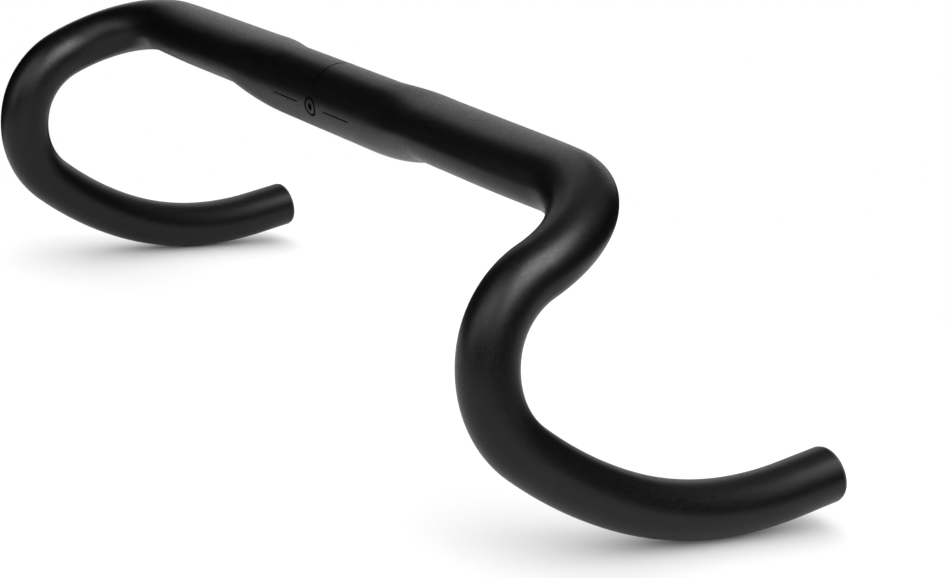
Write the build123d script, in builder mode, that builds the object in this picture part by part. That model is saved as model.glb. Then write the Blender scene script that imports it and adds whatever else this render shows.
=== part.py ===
"""Drop handlebar: one bent alloy tube, its printed marks, and an expanding plug in each open end.

Row frame: origin at the middle of the stem clamp zone, +X to the rider's left, +Y to the rear, +Z up, with
the bar standing on the undersides of its drops. The tube is laid out in the bar plane, in which the
flattened tops are level. Millimetres and degrees.
"""

from build123d import *
import os
from math import cos, degrees, radians, sin, tan

os.makedirs("parts", exist_ok=True)

# ---- the bar -------------------------------------------------------------------------------------------
STAND_PITCH = 27.0  # nose-down angle of the bar plane when the bar stands on its drops
CLAMP_DIA = 31.8
CLAMP_HALF = 38.0  # half the length of the round clamp zone
SHOULDER_LENGTH = 39.5  # from the round clamp zone to the flattened tops
TOP_DEPTH = 38.0  # flattened tops, front to back
TOP_HEIGHT = 25.6  # flattened tops, top to bottom
TOP_TILT = 18.0  # the flat of the tops faces up and to the rear
TOP_SETBACK = 3.0  # middle of the tops' oval behind the centreline, along its own long axis
TOP_SINK = 1.5  # and below it, along its short one
TOP_RISE = 3.7  # centre of the tops above the clamp axis
TOP_LENGTH = 79.5
TOP_DROOP = 0.6  # tops lean down towards their ends
NARROWING_START = 112.0  # where the tops begin to narrow towards the corner, along the centreline
CORNER_RADIUS = 43.5
RAMP_TOE = -0.7  # ramps point slightly inwards
RAMP_SLOPE = 3.0  # ramps run down towards the hooks
GRIP_DIA = 23.8
HOOK_FLARE = 6.4  # hooks lean outwards towards the drops
HOOK_BENDS = ((35.5, 55.5), (44.0, 60.5), (190.0, 15.0), (148.0, 20.5), (160.0, 11.5))  # radius, angle
DROP_STRAIGHT = 20.0  # last stretch, straight so that the plug can go in
WALL = 1.6
END_CHAMFER = 0.4
SECTION_STEP = 5.0  # between the sections of each blended stretch

# ---- printed marks on the clamp zone ---------------------------------------------------------------------
MARK_THICKNESS = 0.04
LINE_WIDTH = 0.6
MARK_ANGLE = 13.0  # the marks' height on the front of the clamp zone, above the bar plane
LEVEL_MARK_START = 11.1  # from the middle of the bar
LEVEL_MARK_END = 31.3
CENTRE_LINE_START = 38.0  # angle round the tube from the middle of the emblem
CENTRE_LINE_ARC = 170.0
EMBLEM_DIA = 9.0
EMBLEM_RING = 1.1
EMBLEM_DOT_DIA = 3.2

# ---- expanding end plugs, measured along the drop's axis, outwards from the tube's cut end -----------------
RUNNING_GAP = 0.10
CAP_DIA = 23.0
CAP_FLANGE = 1.2
CAP_NECK = 5.5
HEAD_DIA, HEAD_HEIGHT, HEAD_SUNK = 7.0, 4.0, 0.3  # M4 socket head screw, sunk in the cap
HEX_KEY, HEX_DEPTH = 3.0, 2.2
SHANK_DIA, SHANK_LENGTH = 3.9, 20.0
NUT_ACROSS_FLATS, NUT_HEIGHT = 7.0, 3.2
SEGMENT_COUNT = 3
SEGMENT_ARC = 104.0
SEGMENT_FRONT, SEGMENT_BACK = -5.8, -15.5
WEDGE_FRONT, WEDGE_BACK = -9.5, -20.0
WEDGE_ANGLE = 15.0  # half angle of the cone
WEDGE_MOUTH_RADIUS = 7.6  # of the segments' tapered bore at their inner end
RIB_WIDTH, RIB_RADIUS = 0.8, 9.2  # ribs that run between the segments and stop the wedge turning
GROOVE_DEPTH, GROOVE_WIDTH = 1.2, 1.5
BAND_DIA = 1.1  # cord of the elastic band round the segments

# ---- where things lie --------------------------------------------------------------------------------------
BAR = Plane((0, 0, 0), x_dir=(1, 0, 0), z_dir=(0, -sin(radians(STAND_PITCH)), cos(radians(STAND_PITCH))))


def bar_direction(outward, rearward, upward):
    """Unit vector from its shares along the bar plane's own axes."""
    return (BAR.x_dir * outward + BAR.y_dir * rearward + BAR.z_dir * upward).normalized()


top_dir = bar_direction(1, 0, -tan(radians(TOP_DROOP)))
ramp_dir = bar_direction(tan(radians(RAMP_TOE)), -1, -tan(radians(RAMP_SLOPE)))
down_dir = bar_direction(tan(radians(HOOK_FLARE)), 0, -1)


with BuildLine():
    shoulder_start = BAR.from_local_coords(Vector(CLAMP_HALF, 0, 0))
    shoulder_end = BAR.from_local_coords(Vector(CLAMP_HALF + SHOULDER_LENGTH, 0, TOP_RISE))
    shoulder_line = Bezier(
        shoulder_start,
        shoulder_start + BAR.x_dir * (SHOULDER_LENGTH / 3),
        shoulder_end - top_dir * (SHOULDER_LENGTH / 3),
        shoulder_end,
    )
    top_line = Line(shoulder_end, shoulder_end + top_dir * TOP_LENGTH)

with BuildLine(Plane(top_line @ 1, x_dir=top_dir, z_dir=ramp_dir.cross(top_dir))):
    corner_line = JernArc(
        top_line @ 1, top_dir, radius=CORNER_RADIUS, arc_size=-top_dir.get_angle(ramp_dir)
    )

upper_line = Wire([shoulder_line, top_line, corner_line])
SHOULDER_END = CLAMP_HALF + shoulder_line.length  # these two are measured along the centreline
CORNER_END = CLAMP_HALF + upper_line.length

with BuildLine(Plane(corner_line @ 1, x_dir=ramp_dir, z_dir=ramp_dir.cross(down_dir))) as grip_line:
    bend = corner_line
    for bend_radius, bend_angle in HOOK_BENDS:
        bend = JernArc(bend @ 1, bend % 1, radius=bend_radius, arc_size=bend_angle)
    drop_line = Line(bend @ 1, (bend @ 1) + (bend % 1) * DROP_STRAIGHT)


def across(vector):
    """Mirror image of a point or direction on the other side of the bar."""
    return Vector(-vector.X, vector.Y, vector.Z)


LEFT_END = Plane(drop_line @ 1, x_dir=ramp_dir.cross(down_dir), z_dir=drop_line % 1)
RIGHT_END = Plane(across(LEFT_END.origin), x_dir=across(LEFT_END.x_dir), z_dir=across(LEFT_END.z_dir))


# ---- the tube ------------------------------------------------------------------------------------------------
def smooth(share):
    """Smooth step from 0 to 1."""
    share = min(max(share, 0), 1)
    return share * share * (3 - 2 * share)


def mixed(first, last, share):
    """Value part of the way from first to last."""
    return first + (last - first) * share


def flattened(travel):
    """How far the tube is flattened to the section of the tops, from 0 to 1."""
    return smooth((travel - CLAMP_HALF) / shoulder_line.length)


def narrowed(travel):
    """How far the tops have narrowed to the round grip, from 0 to 1."""
    return smooth((travel - NARROWING_START) / (CORNER_END - NARROWING_START))


def section_plane(travel):
    """Plane across the bar at a distance along its centreline from the middle. Its origin is the middle of
    the tube's oval there, and its first axis runs up the oval's short side."""
    distance = travel - CLAMP_HALF
    centre = upper_line.position_at(distance, position_mode=PositionMode.LENGTH)
    along = upper_line.tangent_at(distance, position_mode=PositionMode.LENGTH)
    share = flattened(travel) * (1 - narrowed(travel))
    upright = along.cross(BAR.z_dir).cross(along).normalized()
    upward = upright.rotate(Axis((0, 0, 0), along), -TOP_TILT * share)
    forward = along.cross(upward)
    middle = centre - upward * (TOP_SINK * share) - forward * (TOP_SETBACK * share)
    return Plane(origin=middle, x_dir=upward, z_dir=along)


def section_reach(travel):
    """How far the tube's skin reaches above, below, and before or behind the middle of its oval. Over the
    shoulder the underside leaves the clamp zone's level slowly, and meets the tops' own in a crease."""
    shoulder = min((travel - CLAMP_HALF) / shoulder_line.length, 1)
    rise = BAR.to_local_coords(section_plane(travel).origin).Z
    height = mixed(TOP_HEIGHT, GRIP_DIA, narrowed(travel))
    depth = mixed(TOP_DEPTH, GRIP_DIA, narrowed(travel))
    above = mixed(CLAMP_DIA, height, flattened(travel)) / 2
    below = mixed(CLAMP_DIA / 2 + rise, height / 2, shoulder**2)
    beside = mixed(CLAMP_DIA, depth, flattened(travel)) / 2
    return above, below, beside


def left_half(inset):
    """The left half of the bar, outboard of the clamp zone, with its surface moved in by inset."""
    with BuildPart() as half:
        for start, end in ((CLAMP_HALF, SHOULDER_END), (NARROWING_START, CORNER_END)):
            steps = round((end - start) / SECTION_STEP)
            for i in range(steps + 1):
                travel = mixed(start, end, i / steps)
                above, below, beside = (reach - inset for reach in section_reach(travel))
                with BuildSketch(section_plane(travel)):
                    with BuildLine():
                        EllipticalCenterArc((0, 0), above, beside, start_angle=-90, arc_size=180)
                        EllipticalCenterArc((0, 0), below, beside, start_angle=90, arc_size=180)
                    make_face()
            loft()
        with BuildSketch(section_plane(SHOULDER_END)):
            Ellipse(TOP_HEIGHT / 2 - inset, TOP_DEPTH / 2 - inset)
        extrude(amount=NARROWING_START - SHOULDER_END)
        with BuildSketch(section_plane(CORNER_END)):
            Circle(GRIP_DIA / 2 - inset)
        sweep(path=grip_line.wire())
    return half.part


outer_left = left_half(0)
bore_left = left_half(WALL)

with BuildPart() as bar_tube:
    add(outer_left)
    add(bore_left, mode=Mode.SUBTRACT)
    mirror(about=Plane.YZ)
    with BuildSketch(Plane.YZ):
        Circle(CLAMP_DIA / 2)
        Circle(CLAMP_DIA / 2 - WALL, mode=Mode.SUBTRACT)
    extrude(amount=CLAMP_HALF, both=True)
    for end in (LEFT_END, RIGHT_END):
        rims = bar_tube.edges().filter_by(GeomType.CIRCLE).sort_by_distance(end.origin)[:2]
        chamfer(rims.sort_by(lambda rim: rim.radius)[-1], length=END_CHAMFER)
bar_tube.part.label = "bar_tube"
export_step(bar_tube.part, "parts/bar_tube.step")


# ---- printed marks ---------------------------------------------------------------------------------------------
def around_clamp(angle):
    """Plane through the clamp axis, with its first axis along it and its second at an angle from the front
    of the clamp zone, counted upwards and over the top."""
    upward = radians(MARK_ANGLE + angle)
    outward = BAR.z_dir * sin(upward) - BAR.y_dir * cos(upward)
    return Plane((0, 0, 0), x_dir=(1, 0, 0), z_dir=Vector(1, 0, 0).cross(outward))


def printed_line(name, middle, length, start_angle, arc):
    """A line of ink on the clamp zone: a thin strip turned about the clamp axis."""
    with BuildPart() as line:
        with BuildSketch(around_clamp(start_angle)):
            with Locations((middle, (CLAMP_DIA + MARK_THICKNESS) / 2)):
                Rectangle(length, MARK_THICKNESS)
        revolve(axis=Axis((0, 0, 0), (-1, 0, 0)), revolution_arc=arc)
    line.part.label = name
    export_step(line.part, f"parts/{name}.step")


line_arc = degrees(LINE_WIDTH / (CLAMP_DIA / 2))
level_middle = (LEVEL_MARK_START + LEVEL_MARK_END) / 2
level_length = LEVEL_MARK_END - LEVEL_MARK_START
printed_line("left_level_mark", level_middle, level_length, -line_arc / 2, line_arc)
printed_line("right_level_mark", -level_middle, level_length, -line_arc / 2, line_arc)
printed_line("centre_line_mark", 0, LINE_WIDTH, CENTRE_LINE_START, CENTRE_LINE_ARC)

with BuildPart() as centre_emblem:
    emblem_outward = around_clamp(0).y_dir
    with BuildSketch(Plane((0, 0, 0), x_dir=(1, 0, 0), z_dir=emblem_outward)):
        Circle(EMBLEM_DIA / 2)
        Circle(EMBLEM_DIA / 2 - EMBLEM_RING, mode=Mode.SUBTRACT)
        Circle(EMBLEM_DOT_DIA / 2)
    extrude(amount=CLAMP_DIA)
    with BuildSketch(Plane.YZ.offset(-EMBLEM_DIA)):
        Circle(CLAMP_DIA / 2 + MARK_THICKNESS)
        Circle(CLAMP_DIA / 2, mode=Mode.SUBTRACT)
    extrude(amount=2 * EMBLEM_DIA, mode=Mode.INTERSECT)
centre_emblem.part.label = "centre_emblem"
export_step(centre_emblem.part, "parts/centre_emblem.step")


# ---- end plugs ---------------------------------------------------------------------------------------------------
TAPER = tan(radians(WEDGE_ANGLE))
BORE_RADIUS = GRIP_DIA / 2 - WALL
HEAD_BACK = CAP_FLANGE - HEAD_SUNK - HEAD_HEIGHT


def tapered_bore_radius(z):
    """Radius of the segments' tapered bore at a height on the plug's axis."""
    return WEDGE_MOUTH_RADIUS - (z - SEGMENT_BACK) * TAPER


def keep(piece, name):
    """Label a finished plug piece and write it out."""
    piece.part.label = name
    export_step(piece.part, f"parts/{name}.step")


def plug_cap(end, name):
    """Flanged cap that closes the tube's end and seats the screw's head."""
    with BuildPart() as cap:
        with BuildSketch(end.offset(-CAP_NECK)):
            Circle(BORE_RADIUS - RUNNING_GAP)
        extrude(amount=CAP_NECK)
        with BuildSketch(end):
            Circle(CAP_DIA / 2)
        extrude(amount=CAP_FLANGE)
        flange_rim = cap.edges().filter_by(GeomType.CIRCLE).sort_by(Axis(end.origin, end.z_dir))[-1]
        fillet(flange_rim, radius=CAP_FLANGE / 2)
        with BuildSketch(end.offset(CAP_FLANGE)):
            Circle(HEAD_DIA / 2 + 0.25)
        extrude(amount=HEAD_BACK - CAP_FLANGE, mode=Mode.SUBTRACT)
        with BuildSketch(end.offset(HEAD_BACK)):
            Circle(SHANK_DIA / 2 + 0.25)
        extrude(amount=-CAP_NECK - HEAD_BACK, mode=Mode.SUBTRACT)
    keep(cap, name)


def plug_screw(end, name):
    """Socket head screw that draws the wedge towards the cap."""
    with BuildPart() as screw:
        with BuildSketch(end.offset(HEAD_BACK + RUNNING_GAP)):
            Circle(HEAD_DIA / 2)
        extrude(amount=HEAD_HEIGHT)
        head_rim = screw.edges().filter_by(GeomType.CIRCLE).sort_by(Axis(end.origin, end.z_dir))[-1]
        chamfer(head_rim, length=0.35)
        with BuildSketch(end.offset(HEAD_BACK + RUNNING_GAP + HEAD_HEIGHT)):
            RegularPolygon(HEX_KEY / 2, 6, major_radius=False)
        extrude(amount=-HEX_DEPTH, mode=Mode.SUBTRACT)
        with BuildSketch(end.offset(HEAD_BACK + RUNNING_GAP)):
            Circle(SHANK_DIA / 2)
        extrude(amount=-SHANK_LENGTH)
    keep(screw, name)


def plug_segment(end, name, index):
    """One of the segments that the wedge presses against the tube's bore."""
    outer = BORE_RADIUS - RUNNING_GAP
    groove_middle = (SEGMENT_FRONT + SEGMENT_BACK) / 2
    start = index * 360 / SEGMENT_COUNT - SEGMENT_ARC / 2
    outward = end.x_dir.rotate(Axis((0, 0, 0), end.z_dir), start)
    with BuildPart() as segment:
        with BuildSketch(Plane(end.origin, x_dir=outward, z_dir=outward.cross(end.z_dir))):
            with BuildLine():
                Polyline(
                    (tapered_bore_radius(SEGMENT_BACK), SEGMENT_BACK),
                    (outer, SEGMENT_BACK),
                    (outer, SEGMENT_FRONT),
                    (tapered_bore_radius(SEGMENT_FRONT), SEGMENT_FRONT),
                    close=True,
                )
            make_face()
            with Locations((outer, groove_middle)):
                Rectangle(2 * GROOVE_DEPTH, GROOVE_WIDTH, mode=Mode.SUBTRACT)
        revolve(axis=Axis(end.origin, end.z_dir), revolution_arc=SEGMENT_ARC)
    keep(segment, name)


def plug_band(end, name):
    """Elastic band that holds the segments together, in their groove."""
    band_radius = BORE_RADIUS - RUNNING_GAP - GROOVE_DEPTH + BAND_DIA / 2 + 0.02
    with BuildPart() as band:
        with BuildSketch(Plane(end.origin, x_dir=end.x_dir, z_dir=-end.y_dir)):
            with Locations((band_radius, (SEGMENT_FRONT + SEGMENT_BACK) / 2)):
                Circle(BAND_DIA / 2)
        revolve(axis=Axis(end.origin, end.z_dir))
    keep(band, name)


def plug_wedge(end, name):
    """Cone with three ribs and a pocket for the nut, drawn into the segments by the screw."""
    with BuildPart() as wedge:
        for face_height in (WEDGE_BACK, WEDGE_FRONT):
            with BuildSketch(end.offset(face_height)):
                Circle(tapered_bore_radius(face_height) - RUNNING_GAP)
        loft(ruled=True)
        with BuildSketch(end.offset(WEDGE_BACK)):
            with PolarLocations(RIB_RADIUS / 2, SEGMENT_COUNT, start_angle=180 / SEGMENT_COUNT):
                Rectangle(RIB_RADIUS, RIB_WIDTH)
        extrude(amount=(WEDGE_FRONT - WEDGE_BACK) * 0.7)
        with BuildSketch(end.offset(WEDGE_BACK)):
            RegularPolygon(NUT_ACROSS_FLATS / 2, 6, major_radius=False)
        extrude(amount=NUT_HEIGHT, mode=Mode.SUBTRACT)
        with BuildSketch(end.offset(WEDGE_BACK)):
            Circle(SHANK_DIA / 2 + 0.25)
        extrude(amount=WEDGE_FRONT - WEDGE_BACK, mode=Mode.SUBTRACT)
    keep(wedge, name)


def plug_nut(end, name):
    """Hexagon nut held in the wedge."""
    with BuildPart() as nut:
        with BuildSketch(end.offset(WEDGE_BACK)):
            RegularPolygon(NUT_ACROSS_FLATS / 2, 6, major_radius=False)
            Circle(SHANK_DIA / 2 + 0.05, mode=Mode.SUBTRACT)
        extrude(amount=NUT_HEIGHT)
    keep(nut, name)


for side, end in (("left", LEFT_END), ("right", RIGHT_END)):
    plug_cap(end, f"{side}_plug_cap")
    plug_screw(end, f"{side}_plug_screw")
    plug_wedge(end, f"{side}_plug_wedge")
    plug_nut(end, f"{side}_plug_nut")
    plug_band(end, f"{side}_plug_band")
    for index in range(SEGMENT_COUNT):
        plug_segment(end, f"{side}_plug_segment_{index + 1}", index)
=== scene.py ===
from collections import namedtuple
from math import cos, degrees, pi, radians, sin, tan

import bpy
import numpy as np
from mathutils import Matrix, Vector


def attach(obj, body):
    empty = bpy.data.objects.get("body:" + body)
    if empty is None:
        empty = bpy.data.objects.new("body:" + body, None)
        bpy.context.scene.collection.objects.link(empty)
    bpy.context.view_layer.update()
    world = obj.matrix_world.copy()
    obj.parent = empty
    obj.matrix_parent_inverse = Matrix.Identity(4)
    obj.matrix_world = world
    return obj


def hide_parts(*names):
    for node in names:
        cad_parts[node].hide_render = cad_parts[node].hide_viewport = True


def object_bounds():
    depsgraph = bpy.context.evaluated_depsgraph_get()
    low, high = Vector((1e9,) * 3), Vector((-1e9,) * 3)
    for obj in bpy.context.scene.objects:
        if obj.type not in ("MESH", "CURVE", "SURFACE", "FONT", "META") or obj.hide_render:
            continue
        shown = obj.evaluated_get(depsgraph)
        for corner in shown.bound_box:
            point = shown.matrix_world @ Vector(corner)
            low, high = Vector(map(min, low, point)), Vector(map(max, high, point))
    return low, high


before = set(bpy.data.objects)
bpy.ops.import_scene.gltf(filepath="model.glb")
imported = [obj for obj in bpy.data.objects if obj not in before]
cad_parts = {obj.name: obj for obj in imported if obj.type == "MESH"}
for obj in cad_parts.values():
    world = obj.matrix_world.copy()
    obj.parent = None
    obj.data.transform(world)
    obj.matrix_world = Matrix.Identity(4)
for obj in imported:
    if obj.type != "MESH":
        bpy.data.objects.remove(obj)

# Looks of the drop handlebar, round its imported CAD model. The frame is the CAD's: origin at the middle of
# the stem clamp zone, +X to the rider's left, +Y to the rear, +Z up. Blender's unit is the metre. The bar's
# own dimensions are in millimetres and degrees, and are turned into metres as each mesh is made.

cad_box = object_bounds()
MM = 0.001

# ---- the bar -----------------------------------------------------------------------------------------------
STAND_PITCH = 27.0  # nose-down angle of the bar plane when the bar stands on its drops
CLAMP_DIA = 31.8
CLAMP_HALF = 38.0  # half the length of the round clamp zone
SHOULDER_LENGTH = 39.5  # from the round clamp zone to the flattened tops
TOP_DEPTH = 38.0  # flattened tops, front to back
TOP_HEIGHT = 25.6  # flattened tops, top to bottom
TOP_TILT = 18.0  # the flat of the tops faces up and to the rear
TOP_SETBACK = 3.0  # middle of the tops' oval behind the centreline, along its own long axis
TOP_SINK = 1.5  # and below it, along its short one
TOP_RISE = 3.7  # centre of the tops above the clamp axis
TOP_LENGTH = 79.5
TOP_DROOP = 0.6  # tops lean down towards their ends
NARROWING_START = 112.0  # where the tops begin to narrow towards the corner, along the centreline
CORNER_RADIUS = 43.5
RAMP_TOE = -0.7  # ramps point slightly inwards
RAMP_SLOPE = 3.0  # ramps run down towards the hooks
GRIP_DIA = 23.8
HOOK_FLARE = 6.4  # hooks lean outwards towards the drops
HOOK_BENDS = ((35.5, 55.5), (44.0, 60.5), (190.0, 15.0), (148.0, 20.5), (160.0, 11.5))  # radius, angle
DROP_STRAIGHT = 20.0  # last stretch, straight so that the plug can go in
WALL = 1.6
END_CHAMFER = 0.4
EDGE_BREAK = 0.06  # rounding of the chamfer's own edges
SKIN_INSET = 0.04  # keeps the finer skin of the looks inside the CAD model's faceted one

# ---- printed marks -----------------------------------------------------------------------------------------
INK_THICKNESS = 0.03  # above the clamp zone's surface
INK_SUNK = 0.02  # and below it
LINE_WIDTH = 0.6
MARK_ANGLE = 13.0  # the marks' height on the front of the clamp zone, above the bar plane
LEVEL_MARK_START = 11.1  # from the middle of the bar
LEVEL_MARK_END = 31.3
CENTRE_LINE_START = 38.0  # angle round the tube from the middle of the emblem
CENTRE_LINE_ARC = 170.0
EMBLEM_DIA = 9.0
EMBLEM_RING = 1.1
EMBLEM_DOT_DIA = 3.2

# ---- mesh density ------------------------------------------------------------------------------------------
AROUND = 128  # points round a section of the tube
STATION_STEP = 1.5  # between sections along the tube
LEVEL_LINE_STEPS = 24  # along a level line
CENTRE_LINE_STEPS = 96  # round the centre line
LINE_WIDTH_STEPS = 2  # across any line
EMBLEM_STEPS = 48  # points round the emblem

# ---- camera, floor and lights, in metres, degrees and watts ------------------------------------------------
VIEW_AZIMUTH = 52.70
VIEW_ELEVATION = 15.21
VIEW_ROLL = 7.11
VIEW_DISTANCE = 0.7907
VIEW_TARGET = Vector((0.1495, -0.0267, -0.0423))
LENS = 78.16  # focal length, in millimetres
CLIP_START = 0.01
CLIP_END = 50.0
FLOOR_LEFT, FLOOR_RIGHT, FLOOR_FRONT, FLOOR_BACK = 0.45, -0.36, -0.36, 0.40
CEILING_POWER = 1.0
CEILING_SPREAD = 120.0
SOFTBOXES = (  # name, azimuth, elevation, distance, width, height, power
    ("key_softbox", 82, 46, 1.5, 1.1, 1.1, 48),
    ("high_softbox", 104, 62, 1.5, 0.9, 0.9, 2.2),
    ("side_softbox", -10, 10, 1.6, 0.85, 0.8, 4.9),
    ("front_softbox", 8, 33, 1.7, 1.3, 0.9, 9.5),
    ("near_softbox", 30, 22, 1.0, 0.5, 0.5, 1.9),
    ("low_softbox", 60, 18, 1.8, 1.0, 0.6, 3.8),
    ("rear_softbox", -127, 12, 2.0, 2.2, 0.8, 6.1),
    ("rear_top_softbox", -116, 36, 2.0, 1.0, 0.6, 2.8),
    ("overhead_softbox", 180, 60, 2.0, 2.4, 2.4, 5.2),
)


# ---- centreline of the left half ---------------------------------------------------------------------------
Station = namedtuple("Station", "centre along up travel", defaults=(0.0,))
BAR_TURN = Matrix.Rotation(radians(STAND_PITCH), 3, "X")


def bar_vector(outward, rearward, upward):
    """A vector given along the bar plane's own axes, in the row frame."""
    return BAR_TURN @ Vector((outward, rearward, upward))


top_dir = bar_vector(1, 0, -tan(radians(TOP_DROOP))).normalized()
ramp_dir = bar_vector(tan(radians(RAMP_TOE)), -1, -tan(radians(RAMP_SLOPE))).normalized()
down_dir = bar_vector(tan(radians(HOOK_FLARE)), 0, -1).normalized()


def smooth(share):
    """Smooth step from 0 to 1."""
    share = np.clip(share, 0, 1)
    return share * share * (3 - 2 * share)


def mixed(first, last, share):
    """Value part of the way from first to last."""
    return first + (last - first) * share


def upright(along):
    """The bar plane's normal, made square to a direction."""
    normal = bar_vector(0, 0, 1)
    return (normal - along * normal.dot(along)).normalized()


def straight_stations(start, along, length):
    """Stations along a straight stretch, without its far end."""
    steps = round(length / STATION_STEP)
    return [Station(start + along * (length * i / steps), along, upright(along)) for i in range(steps)]


def shoulder_stations():
    """Stations from the clamp axis up to the tops' own axis, on a Bezier curve."""
    start = bar_vector(CLAMP_HALF, 0, 0)
    end = bar_vector(CLAMP_HALF + SHOULDER_LENGTH, 0, TOP_RISE)
    reach = SHOULDER_LENGTH / 3
    handles = (start, start + bar_vector(reach, 0, 0), end - top_dir * reach, end)
    steps = round(SHOULDER_LENGTH / STATION_STEP)
    stations = []
    for i in range(steps):
        u = i / steps
        weights = ((1 - u) ** 3, 3 * u * (1 - u) ** 2, 3 * u * u * (1 - u), u**3)
        slopes = (-3 * (1 - u) ** 2, 3 * (1 - u) * (1 - 3 * u), 3 * u * (2 - 3 * u), 3 * u * u)
        centre = sum((point * weight for point, weight in zip(handles, weights)), Vector())
        along = sum((point * slope for point, slope in zip(handles, slopes)), Vector()).normalized()
        stations.append(Station(centre, along, upright(along)))
    return stations


def bend_stations(start, radius, angle, axis):
    """Stations after start, round a bend about an axis."""
    middle = start.centre + axis.cross(start.along) * radius
    steps = round(radius * radians(angle) / STATION_STEP)
    stations = []
    for i in range(1, steps + 1):
        turn = Matrix.Rotation(radians(angle) * i / steps, 3, axis)
        centre = middle + turn @ (start.centre - middle)
        stations.append(Station(centre, turn @ start.along, turn @ start.up))
    return stations


def half_bar():
    """Stations from the middle of the bar to the left end, and how far along the shoulder and corner end."""
    stations = straight_stations(Vector(), bar_vector(1, 0, 0), CLAMP_HALF)
    stations += shoulder_stations()
    shoulder_count = len(stations)
    top_start = bar_vector(CLAMP_HALF + SHOULDER_LENGTH, 0, TOP_RISE)
    stations += straight_stations(top_start, top_dir, TOP_LENGTH)
    stations.append(Station(top_start + top_dir * TOP_LENGTH, top_dir, upright(top_dir)))
    corner_axis = top_dir.cross(ramp_dir).normalized()
    stations += bend_stations(stations[-1], CORNER_RADIUS, degrees(top_dir.angle(ramp_dir)), corner_axis)
    corner_count = len(stations)
    stations[-1] = stations[-1]._replace(up=upright(ramp_dir))
    hook_axis = ramp_dir.cross(down_dir).normalized()
    for radius, angle in HOOK_BENDS:
        stations += bend_stations(stations[-1], radius, angle, hook_axis)
    last = stations[-1]
    for back in (END_CHAMFER + EDGE_BREAK, 0.0):
        stations.append(last._replace(centre=last.centre + last.along * (DROP_STRAIGHT - back)))
    travel = 0.0
    placed = [stations[0]]
    for before, after in zip(stations, stations[1:]):
        travel += (after.centre - before.centre).length
        placed.append(after._replace(travel=travel))
    return placed, placed[shoulder_count].travel, placed[corner_count - 1].travel


bar_stations, shoulder_end, corner_end = half_bar()


# ---- section of the tube -----------------------------------------------------------------------------------
def flattened(travel):
    """How far the tube is flattened to the section of the tops, from 0 to 1."""
    return smooth((travel - CLAMP_HALF) / (shoulder_end - CLAMP_HALF))


def narrowed(travel):
    """How far the tops have narrowed to the round grip, from 0 to 1."""
    return smooth((travel - NARROWING_START) / (corner_end - NARROWING_START))


def winged(travel):
    """How far the section has the tilt and set-back of the tops, from 0 to 1."""
    return flattened(travel) * (1 - narrowed(travel))


def section_axes(station):
    """Middle of the tube's oval at a station, with the oval's short axis and its long one."""
    share = winged(station.travel)
    upward = Matrix.Rotation(radians(-TOP_TILT * share), 3, station.along) @ station.up
    forward = station.along.cross(upward)
    middle = station.centre - upward * (TOP_SINK * share) - forward * (TOP_SETBACK * share)
    return middle, upward, forward


def section_reach(travel, rise):
    """How far the tube's skin reaches above, below, and before or behind the middle of its oval. The rise is
    the middle's height above the clamp axis."""
    shoulder = np.clip((travel - CLAMP_HALF) / (shoulder_end - CLAMP_HALF), 0, 1)
    height = mixed(TOP_HEIGHT, GRIP_DIA, narrowed(travel))
    depth = mixed(TOP_DEPTH, GRIP_DIA, narrowed(travel))
    above = mixed(CLAMP_DIA, height, flattened(travel)) / 2
    below = mixed(CLAMP_DIA / 2 + rise, height / 2, shoulder**2)
    beside = mixed(CLAMP_DIA, depth, flattened(travel)) / 2
    return above, below, beside


def ring(station, inset=0.0, setback=0.0):
    """Points round the tube's section at a station, moved in by inset and back along the tube by setback."""
    middle, upward, forward = section_axes(station)
    rise = (BAR_TURN.inverted() @ middle).z
    above, below, beside = (reach - inset for reach in section_reach(station.travel, rise))
    angles = np.arange(AROUND) * 2 * pi / AROUND
    lift = np.cos(angles) * np.where(np.cos(angles) > 0, above, below)
    centre = np.array(middle - station.along * setback)
    return centre + np.outer(lift, upward) + np.outer(np.sin(angles) * beside, forward)


def mirrored(points):
    """Mirror image on the other side of the bar."""
    return points * np.array((-1.0, 1.0, 1.0))


# ---- mesh helpers ------------------------------------------------------------------------------------------
def make_piece(name, points, faces, material):
    """A smooth-shaded mesh object from points in millimetres."""
    mesh = bpy.data.meshes.new(name)
    mesh.from_pydata((np.asarray(points) * MM).tolist(), [], faces)
    mesh.validate()
    mesh.shade_smooth()
    mesh.materials.append(material)
    piece = bpy.data.objects.new(name, mesh)
    bpy.context.scene.collection.objects.link(piece)
    return piece


def grid_faces(rows, columns, wrap_rows, wrap_columns):
    """Quads over a grid of points, row after row."""
    faces = []
    for i in range(rows if wrap_rows else rows - 1):
        for j in range(columns if wrap_columns else columns - 1):
            a, b = i * columns, (i + 1) % rows * columns
            c, d = j, (j + 1) % columns
            faces.append((a + c, a + d, b + d, b + c))
    return faces


# ---- materials ---------------------------------------------------------------------------------------------
def new_material(name, colour, roughness, metallic=0.0):
    """A node material, with its Principled shader and tree."""
    material = bpy.data.materials.new(name)
    material.use_nodes = True
    tree = material.node_tree
    shader = tree.nodes["Principled BSDF"]
    shader.inputs["Base Color"].default_value = (*colour, 1.0)
    shader.inputs["Roughness"].default_value = roughness
    shader.inputs["Metallic"].default_value = metallic
    return material, tree, shader


def add_node(tree, kind, **inputs):
    """A node with some of its inputs set. Underscores in a name stand for spaces."""
    node = tree.nodes.new(kind)
    for key, value in inputs.items():
        node.inputs[key.replace("_", " ")].default_value = value
    return node


def add_texture(tree, kind, **inputs):
    """A texture laid out in the object's own coordinates."""
    texture = add_node(tree, kind, **inputs)
    tree.links.new(add_node(tree, "ShaderNodeTexCoord").outputs["Object"], texture.inputs["Vector"])
    return texture


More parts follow.
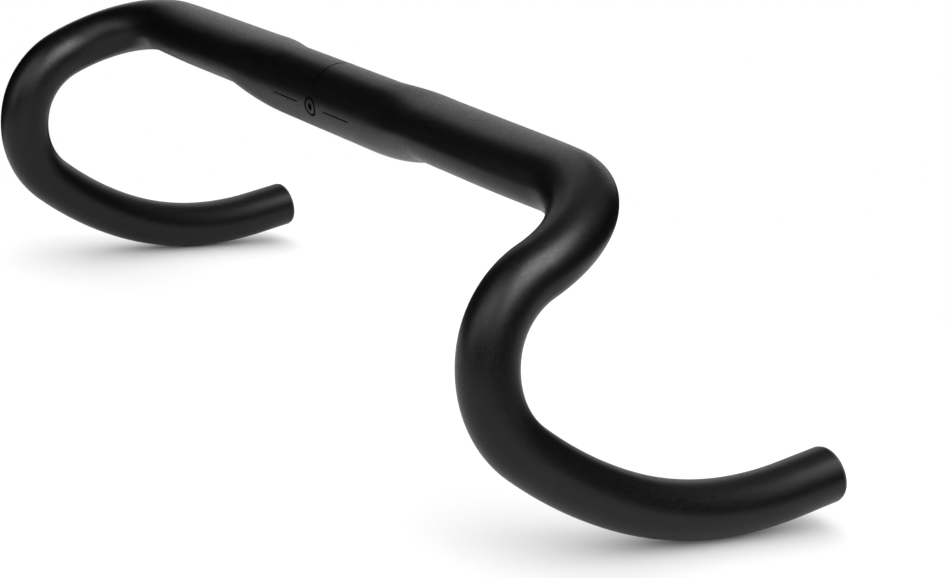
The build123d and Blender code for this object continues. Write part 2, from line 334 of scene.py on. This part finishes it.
def spread_value(tree, value, least, most):
    """A texture's value, from 0 to 1, spread over a range."""
    spread = add_node(tree, "ShaderNodeMapRange", To_Min=least, To_Max=most)
    tree.links.new(value, spread.inputs["Value"])
    return spread.outputs["Result"]


def add_bump(tree, shader, height, strength, depth):
    """Relief on a shader's surface from a texture's value. The depth is in metres."""
    bump = add_node(tree, "ShaderNodeBump", Strength=strength, Distance=depth)
    tree.links.new(height, bump.inputs["Height"])
    tree.links.new(bump.outputs["Normal"], shader.inputs["Normal"])


def blasted_anodising():
    """Bead-blasted satin black anodising: a fine pitted grain, with facets that catch the light singly."""
    material, tree, shader = new_material("blasted_black_anodising", (0.002, 0.002, 0.002), roughness=0.42)
    pits = add_texture(tree, "ShaderNodeTexNoise", Scale=2600.0, Detail=2.0, Roughness=0.6)
    facets = add_texture(tree, "ShaderNodeTexVoronoi", Scale=1700.0)
    cloud = add_texture(tree, "ShaderNodeTexNoise", Scale=45.0, Detail=3.0)

    facet_values = add_node(tree, "ShaderNodeSeparateColor")
    tree.links.new(facets.outputs["Color"], facet_values.inputs["Color"])
    roughness = spread_value(tree, facet_values.outputs["Red"], least=0.33, most=0.45)
    tree.links.new(roughness, shader.inputs["Roughness"])
    gloss = spread_value(tree, facet_values.outputs["Green"], least=0.22, most=0.26)
    tree.links.new(gloss, shader.inputs["Specular IOR Level"])

    tint = spread_value(tree, cloud.outputs["Fac"], least=0.0004, most=0.0010)
    tint_colour = add_node(tree, "ShaderNodeCombineColor")
    for channel in ("Red", "Green", "Blue"):
        tree.links.new(tint, tint_colour.inputs[channel])
    tree.links.new(tint_colour.outputs["Color"], shader.inputs["Base Color"])

    add_bump(tree, shader, pits.outputs["Fac"], strength=0.35, depth=0.00006)
    return material


def black_ink():
    """Printed dead-matt black ink, a little uneven in its film."""
    material, tree, shader = new_material("black_ink", (0.001, 0.001, 0.001), roughness=0.8)
    shader.inputs["Specular IOR Level"].default_value = 0.02
    film = add_texture(tree, "ShaderNodeTexNoise", Scale=900.0, Detail=2.0)
    add_bump(tree, shader, film.outputs["Fac"], strength=0.15, depth=0.00002)
    return material


def moulded(name, colour, roughness, grain_scale, grain_depth):
    """Moulded plastic or rubber: a fine spark-eroded grain from the mould."""
    material, tree, shader = new_material(name, colour, roughness)
    grain = add_texture(tree, "ShaderNodeTexNoise", Scale=grain_scale, Detail=4.0)
    shade = spread_value(tree, grain.outputs["Fac"], roughness - 0.06, roughness + 0.08)
    tree.links.new(shade, shader.inputs["Roughness"])
    add_bump(tree, shader, grain.outputs["Fac"], strength=0.5, depth=grain_depth)
    return material


def plated_steel(name, colour, roughness):
    """Machined and plated steel, with fine turning marks."""
    material, tree, shader = new_material(name, colour, roughness, metallic=1.0)
    marks = add_texture(tree, "ShaderNodeTexNoise", Scale=1500.0, Detail=3.0)
    shade = spread_value(tree, marks.outputs["Fac"], roughness - 0.08, roughness + 0.10)
    tree.links.new(shade, shader.inputs["Roughness"])
    add_bump(tree, shader, marks.outputs["Fac"], strength=0.2, depth=0.00002)
    return material


anodising = blasted_anodising()
ink = black_ink()
plastic = moulded(
    "black_nylon", (0.018, 0.018, 0.019), roughness=0.5, grain_scale=1800.0, grain_depth=0.00005
)
rubber = moulded(
    "band_rubber", (0.022, 0.022, 0.022), roughness=0.75, grain_scale=900.0, grain_depth=0.00006
)
black_steel = plated_steel("black_oxide_steel", (0.06, 0.06, 0.065), roughness=0.38)
zinc_steel = plated_steel("zinc_plated_steel", (0.55, 0.56, 0.57), roughness=0.32)


# ---- the tube ----------------------------------------------------------------------------------------------
def bar_shell():
    """The whole bar: its outer skin, cut ends and bore, as one closed mesh."""
    last = bar_stations[-1]
    outer = [ring(station, inset=SKIN_INSET) for station in bar_stations[:-1]]
    bore = [ring(station, inset=WALL) for station in bar_stations[:-1]]
    rim_profile = (  # inset and setback round the cut end, from the outer skin to the bore
        (EDGE_BREAK / 2, END_CHAMFER - EDGE_BREAK / 2),
        (END_CHAMFER - EDGE_BREAK / 2, EDGE_BREAK / 2),
        (END_CHAMFER + EDGE_BREAK, 0.0),
        (WALL - EDGE_BREAK, 0.0),
        (WALL, EDGE_BREAK),
    )
    rim = [ring(last, inset, setback) for inset, setback in rim_profile]
    left = outer + rim + bore[::-1]
    right = [mirrored(points) for points in left[::-1]]
    rings = left + right[1:-1]  # both halves share their first and last rings, in the middle of the bar
    faces = grid_faces(len(rings), AROUND, wrap_rows=True, wrap_columns=True)
    return make_piece("bar_shell", np.concatenate(rings), faces, anodising)


shell = bar_shell()
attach(shell, "bar")
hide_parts("bar_tube")


# ---- printed marks -----------------------------------------------------------------------------------------
def on_clamp(across, angle, radius):
    """A point of the clamp zone: across from the middle, at an angle up from the middle of the marks."""
    turn = radians(MARK_ANGLE + angle)
    return bar_vector(across, -cos(turn) * radius, sin(turn) * radius)


def ink_film(name, node, grid, closed=False):
    """A film of ink on the clamp zone, as a closed thin solid over a grid of (across, angle) places. A closed
    grid's last column meets its first. The faces look out of the film where the rows run towards the right
    end of the bar, or towards the middle of a closed grid, and into the film where they run the other way."""
    rows, columns = len(grid), len(grid[0])
    count = rows * columns
    top = [on_clamp(across, angle, CLAMP_DIA / 2 + INK_THICKNESS) for row in grid for across, angle in row]
    foot = [on_clamp(across, angle, CLAMP_DIA / 2 - INK_SUNK) for row in grid for across, angle in row]
    faces = grid_faces(rows, columns, wrap_rows=False, wrap_columns=closed)
    faces += [tuple(count + corner for corner in face[::-1]) for face in faces]
    first_row = list(range(columns))
    last_row = [(rows - 1) * columns + j for j in reversed(range(columns))]
    if closed:
        borders = [first_row, last_row]
    else:
        last_column = [i * columns + columns - 1 for i in range(1, rows - 1)]
        first_column = [i * columns for i in reversed(range(1, rows - 1))]
        borders = [first_row + last_column + last_row + first_column]
    for border in borders:
        for a, b in zip(border, border[1:] + border[:1]):
            faces.append((b, a, a + count, b + count))
    piece = make_piece(name, [tuple(point) for point in top + foot], faces, ink)
    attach(piece, "bar")
    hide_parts(node)


def angle_round_clamp(length):
    """Angle that a length along the clamp zone's girth takes up."""
    return degrees(2 * length / CLAMP_DIA)


def line_grid(start, end, low, high, across_steps, angle_steps):
    """Places over a line, from start to end across the bar and from the low angle to the high one."""
    return [
        [
            (mixed(start, end, i / across_steps), mixed(low, high, j / angle_steps))
            for j in range(angle_steps + 1)
        ]
        for i in range(across_steps + 1)
    ]


def ring_grid():
    """Places over the emblem's ring, as a closed grid."""
    turns = [2 * pi * i / EMBLEM_STEPS for i in range(EMBLEM_STEPS)]
    radii = [EMBLEM_DIA / 2 - EMBLEM_RING * share for share in (0, 0.5, 1)]
    return [
        [(radius * cos(turn), angle_round_clamp(radius * sin(turn))) for turn in turns]
        for radius in radii
    ]


def dot_grid():
    """Places over the emblem's dot: a square grid rounded to a disc."""
    radius = EMBLEM_DOT_DIA / 2
    shares = np.linspace(-1, 1, EMBLEM_STEPS // 4 + 1)
    return [
        [
            (radius * u * (1 - v * v / 2) ** 0.5, angle_round_clamp(radius * v * (1 - u * u / 2) ** 0.5))
            for v in shares
        ]
        for u in shares
    ]


half_width = LINE_WIDTH / 2
half_angle = angle_round_clamp(half_width)
for side, sign in (("left", 1), ("right", -1)):
    start, end = sign * LEVEL_MARK_START, sign * LEVEL_MARK_END
    places = line_grid(start, end, -half_angle, half_angle, LEVEL_LINE_STEPS, LINE_WIDTH_STEPS)
    ink_film(f"{side}_level_line", f"{side}_level_mark", places)
low, high = CENTRE_LINE_START, CENTRE_LINE_START + CENTRE_LINE_ARC
places = line_grid(-half_width, half_width, low, high, LINE_WIDTH_STEPS, CENTRE_LINE_STEPS)
ink_film("centre_line", "centre_line_mark", places)
ink_film("emblem_ring", "centre_emblem", ring_grid(), closed=True)
ink_film("emblem_dot", "centre_emblem", dot_grid())

# ---- finishes of the CAD nodes, all but the tube's own -----------------------------------------------------
PLUG_FINISH = {"cap": plastic, "wedge": plastic, "band": rubber, "screw": black_steel, "nut": zinc_steel}
for node_name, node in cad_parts.items():
    if node_name == "bar_tube":
        continue
    plug_part = node_name.split("_plug_")[-1]
    finish = PLUG_FINISH.get(plug_part, plastic) if "_plug_" in node_name else ink
    for slot in node.material_slots:
        slot.material = finish

# ---- floor -------------------------------------------------------------------------------------------------
pale_floor = new_material("pale_floor", (0.9, 0.9, 0.9), roughness=0.9)[0]
floor_corners = (
    (FLOOR_LEFT, FLOOR_FRONT),
    (FLOOR_LEFT, FLOOR_BACK),
    (FLOOR_RIGHT, FLOOR_BACK),
    (FLOOR_RIGHT, FLOOR_FRONT),
)
floor_points = [(x / MM, y / MM, cad_box[0].z / MM) for x, y in floor_corners]
floor = make_piece("floor", floor_points, [(0, 1, 2, 3)], pale_floor)


# ---- lights ------------------------------------------------------------------------------------------------
def direction(azimuth, elevation):
    """Unit vector from the object towards a place, with azimuth 0 in front of it at -Y."""
    a, e = radians(azimuth), radians(elevation)
    return Vector((sin(a) * cos(e), -cos(a) * cos(e), sin(e)))


def add_softbox(name, azimuth, elevation, distance, width, height, power):
    """An area light that faces the object, and shows in its gloss only."""
    light = bpy.data.lights.new(name, "AREA")
    light.shape = "RECTANGLE"
    light.size = width
    light.size_y = height
    light.energy = power
    holder = bpy.data.objects.new(name, light)
    towards = direction(azimuth, elevation)
    holder.location = towards * distance
    holder.rotation_euler = towards.to_track_quat("Z", "Y").to_euler()
    holder.visible_diffuse = False
    bpy.context.scene.collection.objects.link(holder)


for softbox in SOFTBOXES:
    add_softbox(*softbox)

ceiling = bpy.data.lights.new("ceiling", "SUN")
ceiling.energy = CEILING_POWER
ceiling.angle = radians(CEILING_SPREAD)
ceiling_holder = bpy.data.objects.new("ceiling", ceiling)
ceiling_holder.visible_glossy = False
bpy.context.scene.collection.objects.link(ceiling_holder)

world = bpy.data.worlds.new("studio")
bpy.context.scene.world = world
world.use_nodes = True
surround = world.node_tree.nodes["Background"]
surround.inputs["Color"].default_value = (1.0, 1.0, 1.0, 1.0)
surround.inputs["Strength"].default_value = 1.0
world.cycles_visibility.glossy = False  # the white surround lights the floor and is kept out of the gloss
bpy.context.scene.view_settings.view_transform = "Standard"

# ---- camera ------------------------------------------------------------------------------------------------
camera_data = bpy.data.cameras.new("camera")
camera_data.lens = LENS
camera_data.clip_start = CLIP_START
camera_data.clip_end = CLIP_END
camera = bpy.data.objects.new("camera", camera_data)
back = direction(VIEW_AZIMUTH, VIEW_ELEVATION)
level = (-back).cross(Vector((0, 0, 1))).normalized()
roll = Matrix.Rotation(radians(VIEW_ROLL), 3, back)
camera_axes = Matrix((roll @ level, roll @ back.cross(level), back)).transposed()
camera.matrix_world = Matrix.Translation(VIEW_TARGET + back * VIEW_DISTANCE) @ camera_axes.to_4x4()
bpy.context.scene.collection.objects.link(camera)
bpy.context.scene.camera = camera
